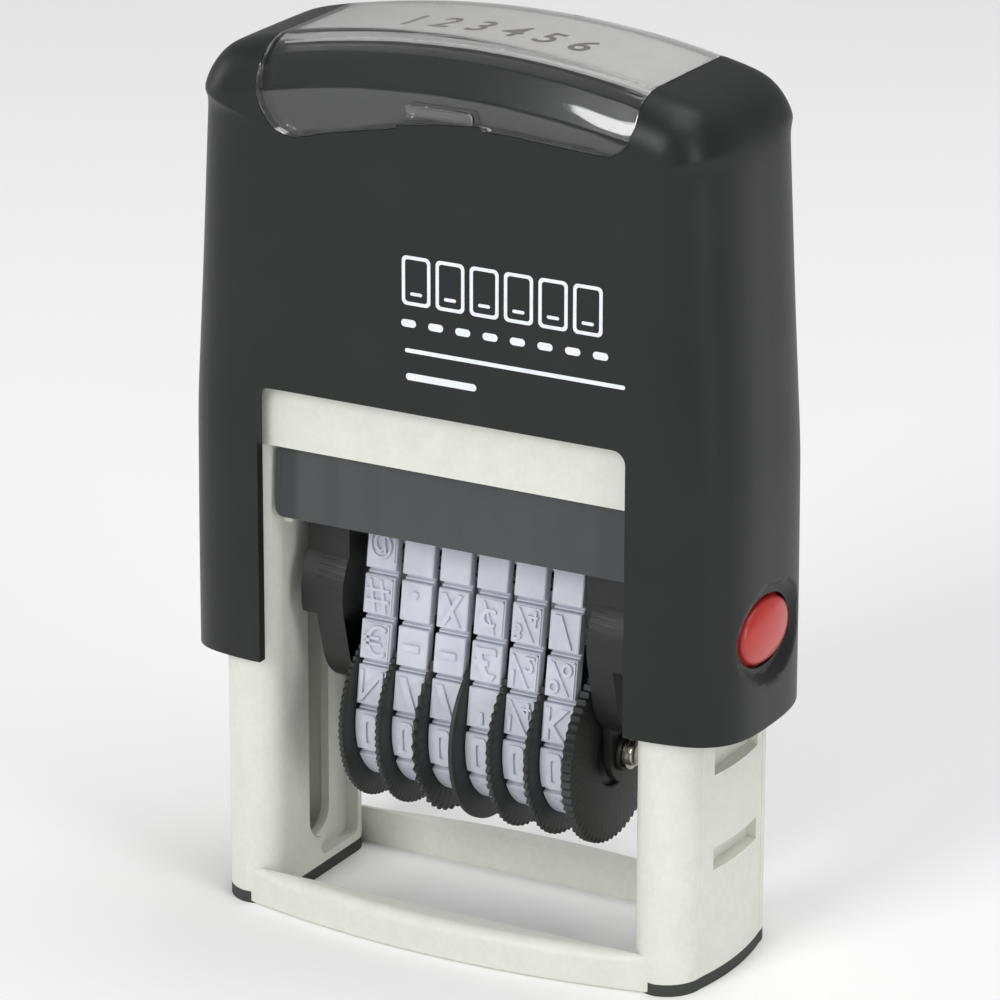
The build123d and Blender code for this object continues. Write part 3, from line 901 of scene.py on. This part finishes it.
# ------------------------------------------------------------------ cartridge
def cartridge():
    pts = []
    for k in range(-1, 8):
        for j in range(8):
            x = -16.45 + 4.5 * (k + j / 8)
            if -19.1 < x < 19.1:
                pts.append((x, -8.42 + 0.5 * math.sin(math.pi * j / 8)))
    pts = [(-19.15, -8.2)] + pts + [(19.1, -8.2), (19.15, -7.0), (-19.15, -7.0)]
    o = prism("ink_cartridge_body", pts, "Z", 39.0, 48.0)
    cut(o, prism("k", rrect(19.12, 3.52, 0.85, n=5, cy=43.42), "Y", -12, 0), op="INTERSECT")
    cut(o, prism("lid", rrect(19.0, 7.5, 0.4, n=2, cy=0.5), "Z", 45.2, 46.9), op="UNION")
    for s in (-1, 1):
        cut(o, prism("w", [(s * 19.0, -7.2), (s * 19.0, 8.0), (s * 17.9, 8.0), (s * 17.9, -7.2)], "Z", 39.9, 46.0), op="UNION")
    cut(o, prism("bk", [(-19.0, 7.0), (19.0, 7.0), (19.0, 8.0), (-19.0, 8.0)], "Z", 42.5, 46.0), op="UNION")
    for v in o.data.vertices:
        y, z = v.co.y / MM, v.co.z / MM
        if -8.41 < y < -7.9:
            v.co.y = (-8.42 + (y + 8.42) * min(max((z - 40.0) / 6.0, 0.0), 1.0) ** 0.7) * MM
    bevel(o, 0.22, 3, 40)
    o.data.materials.clear()
    o.data.materials.append(M["cartridge_black"])
    soften(o, 34)
    return o


place(cartridge(), "cartridge", "cartridge_black", "ink_cartridge")


def felt_pad():
    """Inked foam pad with a softly crowned face and rounded edges."""
    nx, ny = 60, 24
    hw, hh, cy = 17.75, 6.8, 0.05
    z0, z1 = 42.2, 45.15
    verts, faces = [], []
    for face in (0, 1):
        for i in range(nx + 1):
            for j in range(ny + 1):
                u, v = -1 + 2 * i / nx, -1 + 2 * j / ny
                e = max(abs(u), abs(v) if hh else 0)
                du, dv_ = (1 - abs(u)) * hw, (1 - abs(v)) * hh
                edge = min(du, dv_)
                r = 0.6
                lift = 0.0 if edge >= r else r - math.sqrt(max(r * r - (r - edge) ** 2, 0.0))
                wave = 0.04 * math.sin(1.3 * i) * math.sin(1.7 * j)
                z = z0 + lift + (0.05 + wave if edge > r else 0.0) if face == 0 else z1
                verts.append((u * hw, cy + v * hh, z))
    m = ny + 1
    off = (nx + 1) * m
    for i in range(nx):
        for j in range(ny):
            a = i * m + j
            faces.append((a, a + 1, a + m + 1, a + m))
            faces.append((off + a, off + a + m, off + a + m + 1, off + a + 1))
    for i in range(nx):
        for j in (0, ny):
            a, b = i * m + j, (i + 1) * m + j
            faces.append((a, b, off + b, off + a))
    for j in range(ny):
        for i in (0, nx):
            a, b = i * m + j, i * m + j + 1
            faces.append((a, b, off + b, off + a))
    return make("ink_pad_felt", verts, faces, "ink_felt", sharp=50)


pad = felt_pad()
place(pad, "cartridge", "ink_felt", "ink_pad")


# ------------------------------------------------------------------ flip carrier
PZ, AZ = 31.8, 19.59


def cheek(name, xi, s):
    w = 15.9 - abs(xi)
    wb = 17.5 - abs(xi)

    def pr(outline, t, start=0.0):
        a, b = sorted((xi + s * start, xi + s * t))
        return prism("c", outline, "X", a, b)
    o = pr(hull([(0, PZ, 6.5), (0, 27.3, 5.4), (0, AZ + 5.6, 3.0)]), w)
    low = pr(hull([(0, AZ + 5.0, 3.2), (0, AZ, 2.9)]), 0.75)
    hub = pr(ring(0, AZ, 1.9, n=32), 1.15)
    neck = pr([(-5.1, 34.4), (5.1, 34.4), (5.1, 38.7), (3.0, 39.3), (3.0, 40.8), (-3.0, 40.8), (-3.0, 39.3), (-5.1, 38.7)], wb)
    boss = [p for p in ring(0, PZ, 6.5, n=72) if p[1] > 29.9]
    ang = sorted(boss, key=lambda p: math.atan2(p[1] - 29.9, p[0]))
    half = math.sqrt(6.5 ** 2 - (PZ - 29.9) ** 2)
    bo = pr([(half, 29.9)] + ang + [(-half, 29.9)], wb)
    parts = [low, hub, neck, bo]
    if s > 0:
        parts.append(prism("c", rrect(4.3, 3.1, 0.5, n=3, cx=0.0, cy=35.9), "X", xi - 1.2, xi + 0.3))
    cut(o, *parts, op="UNION")
    a, b = sorted((xi - s * 1.0, xi + s * 7.0))
    cut(o, prism("b1", ring(0, PZ, 2.25, n=40), "X", a, b), prism("b2", ring(0, AZ, 1.28, n=32), "X", a, b))
    bevel(o, 0.32, 3, 38)
    o.name = name
    o.data.materials.clear()
    o.data.materials.append(M["carrier_black"])
    soften(o, 34)
    return o


place(cheek("cheek_right", 13.30, 1), "carrier", "carrier_black", "side_plate_right")
place(cheek("cheek_left", -12.95, -1), "carrier", "carrier_black", "side_plate_left")


# ------------------------------------------------------------------ thumb wheels
def wheel(name, x0, width, r, teeth, amp, kind, drum=None, recess=0.0):
    """Rim disc with a toothed edge, and the drum that carries the band."""
    n = max(teeth * 6, 120)

    def rim(k, depth):
        a = 2 * math.pi * k / n
        if kind == "smooth":
            return r - depth
        ph = (k * teeth / n) % 1.0
        if kind == "saw":
            f = 1.0 - ph * 1.15 if ph < 0.87 else (ph - 0.87) / 0.13
        else:
            f = 0.5 + 0.5 * math.cos(2 * math.pi * ph)
        return r - depth - amp * (1 - min(max(f, 0.0), 1.0))
    bore = 1.31
    st = [(0.0, bore, 0), (0.0, 2.2, 0), (0.0, r - 0.95, 0), (0.0, r - 0.62, 0), (0.07, 0.10, 1), (0.14, 0.0, 1)]
    st += [(width - 0.14, 0.0, 1), (width - 0.07, 0.10, 1), (width, r - 0.62, 0)]
    if drum:
        st += [(width, drum + 0.25, 0), (width + 0.25, drum, 0), (drum_w, drum, 0), (drum_w, bore, 0)]
    elif recess:
        st += [(width, 3.75, 0), (width - 0.12, 3.6, 0), (width - recess, 3.5, 0), (width - recess, 2.35, 0), (width - recess + 0.1, 2.25, 0), (width - 0.1, bore + 0.35, 0), (width - 0.1, bore, 0)]
    else:
        st += [(width, bore, 0)]
    verts, faces = [], []
    for x, rr, toothed in st:
        for k in range(n):
            a = 2 * math.pi * k / n
            q = rim(k, rr) if toothed else rr
            verts.append((x0 + x, q * math.cos(a), AZ + q * math.sin(a)))
    m = len(st)
    for i in range(m):
        for k in range(n):
            a, b = i * n + k, i * n + (k + 1) % n
            c, d = ((i + 1) % m) * n + (k + 1) % n, ((i + 1) % m) * n + k
            faces.append((a, b, c, d))
    return make(name, verts, faces, "wheel_black", sharp=38)


drum_w = 3.95
KINDS = [("wave", 84, 0.22), ("wave", 78, 0.26), ("saw", 46, 0.55), ("smooth", 20, 0.0), ("wave", 62, 0.34), ("wave", 62, 0.34)]
for i in range(6):
    x0 = -12.11 + 4.0 * i
    kind, teeth, amp = KINDS[i]
    drum_w = 4.0 if i == 5 else 3.95
    place(wheel("thumb_wheel_%d" % (i + 1), x0, 0.62, 9.1, teeth, amp, kind, drum=5.6), "thumbwheel_%d" % (i + 1), "wheel_black", "wheel_%d" % (i + 1))
place(wheel("thumb_wheel_end", 11.9, 1.17, 9.1, 66, 0.3, "wave", recess=0.55), "thumbwheel_6", "wheel_black", "wheel_end_disc")


# ------------------------------------------------------------------ character bands
BO = hull([(0, AZ, 6.2), (2.3, 40.3, 0.8), (-2.3, 40.3, 0.8)], n=120)


def loop_points():
    """Band line (outer face of its backing) from the middle of the top, to the front and down."""
    pts = sorted(BO, key=lambda p: math.atan2(p[1] - 30.0, p[0]))
    start = min(range(len(pts)), key=lambda i: abs(pts[i][0]) + (100 if pts[i][1] < 30 else 0))
    seq = pts[start:] + pts[:start]
    if seq[3][0] > seq[0][0]:
        seq = [seq[0]] + seq[:0:-1]
    seq = [(0.0, 41.1)] + [p for p in seq if not (abs(p[0]) < 1e-3 and p[1] > 40)] + [(0.0, 41.1)]
    return seq


LOOP = loop_points()
ACC = [0.0]
for _a, _b in zip(LOOP, LOOP[1:]):
    ACC.append(ACC[-1] + math.dist(_a, _b))
TOTAL = ACC[-1]


def on_loop(s):
    s = s % TOTAL
    lo, hi = 0, len(ACC) - 1
    while hi - lo > 1:
        mid = (lo + hi) // 2
        if ACC[mid] <= s:
            lo = mid
        else:
            hi = mid
    a, b = LOOP[lo], LOOP[lo + 1]
    t = (s - ACC[lo]) / max(ACC[lo + 1] - ACC[lo], 1e-9)

    def tangent(i):
        p, q = LOOP[max(i - 1, 0)], LOOP[min(i + 1, len(LOOP) - 1)]
        dy, dz = q[0] - p[0], q[1] - p[1]
        L = math.hypot(dy, dz)
        return dy / L, dz / L
    t0, t1 = tangent(lo), tangent(lo + 1)
    dy, dz = t0[0] * (1 - t) + t1[0] * t, t0[1] * (1 - t) + t1[1] * t
    L = math.hypot(dy, dz)
    dy, dz = dy / L, dz / L
    return a[0] + (b[0] - a[0]) * t, a[1] + (b[1] - a[1]) * t, dz, -dy


def s_at_front(z):
    best, bs = 1e9, 0
    for k in range(1600):
        s = TOTAL / 2 * k / 1600
        y, zz, _, _ = on_loop(s)
        if abs(zz - z) < best and y < -2.5:
            best, bs = abs(zz - z), s
    return bs


S34 = s_at_front(34.62)
BOUNDS = [-2.27, 2.27, 2.27 + (S34 - 2.27) / 2, S34]
for _k in range(5):
    BOUNDS.append(BOUNDS[-1] + 4.43)
_rest = TOTAL - 2.27 - BOUNDS[-1]
_n = round(_rest / 4.6)
for _k in range(1, _n):
    BOUNDS.append(BOUNDS[5 + 3] + _rest * _k / _n)
BOUNDS.append(TOTAL - 2.27)

ROWS = [
    ["@", "#", "€", "N", "0", "1", "2", "3", "4", "5", "6", "7", "8", "9", "+"],
    ["", ".", "-", "/", "0", "1", "2", "3", "4", "5", "6", "7", "8", "9", "+"],
    ["", "X", "-", "/", "0", "1", "2", "3", "4", "5", "6", "7", "8", "9", "+"],
    ["", "¢", "£", "'", "0", "1", "2", "3", "4", "5", "6", "7", "8", "9", "+"],
    ["", "¾", "½", "¼", "0", "1", "2", "3", "4", "5", "6", "7", "8", "9", "+"],
    ["", "/", "%", "K", "0", "1", "2", "3", "4", "5", "6", "7", "8", "9", "+"],
]
WIDE = "@#€N¢¾½¼%"


def band(i):
    xl = -12.11 + 4.0 * i + 0.62 + 0.03
    w = 3.27
    xr = xl + w
    verts, faces = [], []
    # backing with its low ridges, as one closed ring
    st = []
    nb = len(BOUNDS) - 1
    for k in range(nb):
        a, b = BOUNDS[k], BOUNDS[k + 1]
        g = 0.40
        st.append((a + 0.02, 0.02)); st.append((a + 0.13, 0.30)); st.append((a + 0.27, 0.30)); st.append((a + g - 0.04, 0.05))
        st.append((a + g, 0.62)); st.append((a + g + 0.08, 0.70))
        m = 9
        for j in range(1, m):
            st.append((a + g + 0.08 + (b - a - 2 * g * 0.62 - 0.3) * j / m, 0.70))
        st.append((b - 0.33, 0.70)); st.append((b - 0.25, 0.62)); st.append((b - 0.22, 0.02))
    n = len(st)
    for s, h in st:
        y, z, ny, nz = on_loop(s)
        cell = h > 0.5
        l, r = (xl + 0.02, xr - 0.02) if cell else (xl + 0.14, xr)
        hh = h
        loop = [(l, -0.40), (l, hh - 0.1), (l + 0.1, hh), (r - 0.1, hh), (r, hh - 0.1), (r, -0.40)]
        for x, q in loop:
            verts.append((x, y + ny * q, z + nz * q))
    for k in range(n):
        for j in range(6):
            a, b = k * 6 + j, k * 6 + (j + 1) % 6
            c, d = ((k + 1) % n) * 6 + (j + 1) % 6, ((k + 1) % n) * 6 + j
            faces.append((a, b, c, d))
    xc = (xl + xr) / 2
    chars = ["8", "9"] + ROWS[i]
    for k in range(nb):
        ch = chars[k] if k < len(chars) else "0"
        if not ch:
            continue
        sc = (BOUNDS[k] + BOUNDS[k + 1]) / 2 + 0.08

        def mp(u, v, h, sc=sc):
            y, z, ny, nz = on_loop(sc + v)
            return (xc + u, y + ny * h, z + nz * h)
        if ch == "0":
            # thick ring round a narrow slot
            outer, inner = rrect(0.82, 1.62, 0.5, n=5), rrect(0.24, 1.02, 0.2, n=5)
            m0, base = len(outer), len(verts)
            for hh in (0.66, 1.0):
                for lp in (outer, inner):
                    verts.extend(mp(u, v, hh) for u, v in lp)
            for q in range(m0):
                t = (q + 1) % m0
                a0, b0, c0, d0 = q, t, m0 + t, m0 + q
                e0, f0, g0, h0 = (2 * m0 + w0 for w0 in (a0, b0, c0, d0))
                faces.append((base + e0, base + h0, base + g0, base + f0))
                faces.append((base + a0, base + b0, base + c0, base + d0))
                faces.append((base + a0, base + e0, base + f0, base + b0))
                faces.append((base + d0, base + c0, base + g0, base + h0))
            continue
        fat = 0.0 if ch in WIDE else 0.022
        vs, fs, rim, gw, gh = glyph(ch, fat)
        sy = 3.1 / gh
        sx = min(2.5 / gw, sy * 1.15)
        if ch == "-":
            sx, sy = 1.7 / gw, 0.62 / gh
        elif ch == ".":
            sx, sy = 0.75 / gw, 0.75 / gh
        elif ch == "'":
            sx, sy = 0.55 / gw, 1.15 / gh
        elif ch == "/":
            sx = 2.0 / gw
        elif ch == "X":
            sx = 2.3 / gw
        elif ch == "1":
            sx = sy
        dy = -0.7 if ch == "." else (0.9 if ch == "'" else 0.0)
        raised(verts, faces, ch, sx, sy, mp, 0.66, 1.0, dy=dy, fat=fat)
        if ch in WIDE:
            # frame line round the wide characters
            u0, u1, v0, v1 = -1.5, 1.5, -1.72, 1.72
            for (ua, va, ub, vb) in ((u1 - 0.14, v0, u1, v1), (u0 + 0.3, v0, u1, v0 + 0.14)):
                base = len(verts)
                seg = 6
                for q in range(seg + 1):
                    vv = va + (vb - va) * q / seg
                    for (uu, hh) in ((ua, 0.66), (ua, 0.86), (ub, 0.86), (ub, 0.66)):
                        verts.append(mp(uu, vv, hh))
                for q in range(seg):
                    for e in range(4):
                        a, b = base + q * 4 + e, base + q * 4 + (e + 1) % 4
                        faces.append((a, b, b + 4, a + 4))
                faces.append((base, base + 1, base + 2, base + 3))
                faces.append((base + seg * 4 + 3, base + seg * 4 + 2, base + seg * 4 + 1, base + seg * 4))
    o = make("character_band_%d" % (i + 1), verts, faces, "band_rubber", sharp=30)
    return o


for i in range(6):
    place(band(i), "carrier", "band_rubber", "band_%d" % (i + 1))


# ------------------------------------------------------------------ return spring
def coil():
    zb, zt = 48.9, 81.45
    wire, rad = 0.42, 4.05
    turns = 9.5
    n, m = 380, 8
    verts, faces = [], []
    for k in range(n + 1):
        t = k / n
        # closed ends
        f = t
        e = 0.08
        if t < e:
            f = 0.35 * t
        elif t > 1 - e:
            f = 1 - 0.35 * (1 - t)
        else:
            f = 0.35 * e + (t - e) * (1 - 0.7 * e) / (1 - 2 * e)
        z = zb + wire + (zt - zb - 2 * wire) * f
        a = 2 * math.pi * turns * t
        ca, sa = math.cos(a), math.sin(a)
        for j in range(m):
            b = 2 * math.pi * j / m
            rr = rad + wire * math.cos(b)
            verts.append((rr * ca, rr * sa, z + wire * math.sin(b)))
    for k in range(n):
        for j in range(m):
            a, b = k * m + j, k * m + (j + 1) % m
            faces.append((a, b, b + m, a + m))
    faces.append(tuple(range(m)))
    faces.append(tuple(n * m + j for j in range(m)))
    return make("return_spring_coil", verts, faces, "spring_steel", sharp=60)


spring = coil()
place(spring, "frame", "spring_steel", "return_spring")
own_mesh(spring)


# ------------------------------------------------------------------ CAD nodes that stay
KEEP = {
    "slider_left": "cover_black", "slider_right": "cover_black", "spring_guide": "cover_black",
    "pivot_pin_left": "axle_steel", "pivot_pin_right": "axle_steel",
    "platen": "carrier_black", "tie_rod": "axle_steel", "wheel_axle": "axle_steel",
    "axle_clip_left": "axle_steel", "axle_clip_right": "axle_steel", "axle_washer": "carrier_black",
}
for node, mat in KEEP.items():
    o = NODES[node]
    o.data.materials.clear()
    o.data.materials.append(M[mat])
    o.data.polygons.foreach_set("use_smooth", [True] * len(o.data.polygons))
    o.data.set_sharp_from_angle(angle=math.radians(32))

# ------------------------------------------------------------------ floor, light, camera
floor = make("floor", [(-4000, -4000, 0), (4000, -4000, 0), (4000, 4000, 0), (-4000, 4000, 0)], [(0, 1, 2, 3)])
fm, fnt, fb = base_mat("floor_white")
ftc = fnt.nodes.new("ShaderNodeTexCoord")
fno = fnt.nodes.new("ShaderNodeTexNoise")
fno.inputs["Scale"].default_value = 6.0
frr = fnt.nodes.new("ShaderNodeMapRange")
frr.inputs["To Min"].default_value = 0.9
frr.inputs["To Max"].default_value = 0.94
fnt.links.new(ftc.outputs["Object"], fno.inputs["Vector"])
fnt.links.new(fno.outputs["Fac"], frr.inputs["Value"])
fnt.links.new(frr.outputs[0], fb.inputs["Base Color"])
fb.inputs["Roughness"].default_value = 0.9
fb.inputs["Specular IOR Level"].default_value = 0.2
floor.data.materials.append(fm)


def area(name, loc, target, sx, sy, power):
    li = bpy.data.lights.new(name, "AREA")
    li.shape = "RECTANGLE"
    li.size, li.size_y = sx, sy
    li.energy = power
    ob = bpy.data.objects.new(name, li)
    COLL.objects.link(ob)
    ob.location = loc
    ob.rotation_euler = (Vector(target) - Vector(loc)).to_track_quat("-Z", "Y").to_euler()
    return ob


mid = (0.0, 0.0, 0.042)
area("key_front", (-0.17, -0.86, 0.50), mid, 0.34, 0.45, 4.3)
area("fill_right", (0.75, -0.30, 0.30), mid, 0.25, 0.5, 1.7)
area("fill_left", (-0.85, -0.12, 0.32), mid, 0.3, 0.5, 1.3)
area("top", (0.22, 0.10, 0.85), mid, 0.8, 0.6, 4.0)

world = bpy.data.worlds.new("studio")
C.scene.world = world
world.use_nodes = True
wnt = world.node_tree
wnt.nodes.clear()
wo = wnt.nodes.new("ShaderNodeOutputWorld")
bg = wnt.nodes.new("ShaderNodeBackground")
bg.inputs["Color"].default_value = (1, 1, 1, 1)
bg.inputs["Strength"].default_value = 0.34
wnt.links.new(bg.outputs[0], wo.inputs[0])

psi, eps, roll = 0.508498749, 0.338168686, 0.00227613
r = Vector((math.cos(psi), math.sin(psi), 0))
d = Vector((-math.sin(psi) * math.cos(eps), math.cos(psi) * math.cos(eps), -math.sin(eps)))
u = r.cross(d)
r2 = r * math.cos(roll) + u * math.sin(roll)
u2 = -r * math.sin(roll) + u * math.cos(roll)
cam = bpy.data.cameras.new("camera")
cam.sensor_width = 36.0
cam.lens = 198.0
cam.clip_start = 0.01
cam.clip_end = 20.0
co = bpy.data.objects.new("camera", cam)
COLL.objects.link(co)
co.matrix_world = Matrix(((r2.x, u2.x, -d.x, 0.2375605), (r2.y, u2.y, -d.y, -0.4253305), (r2.z, u2.z, -d.z, 0.2134964), (0, 0, 0, 1)))
C.scene.camera = co
C.scene.view_settings.view_transform = "Standard"
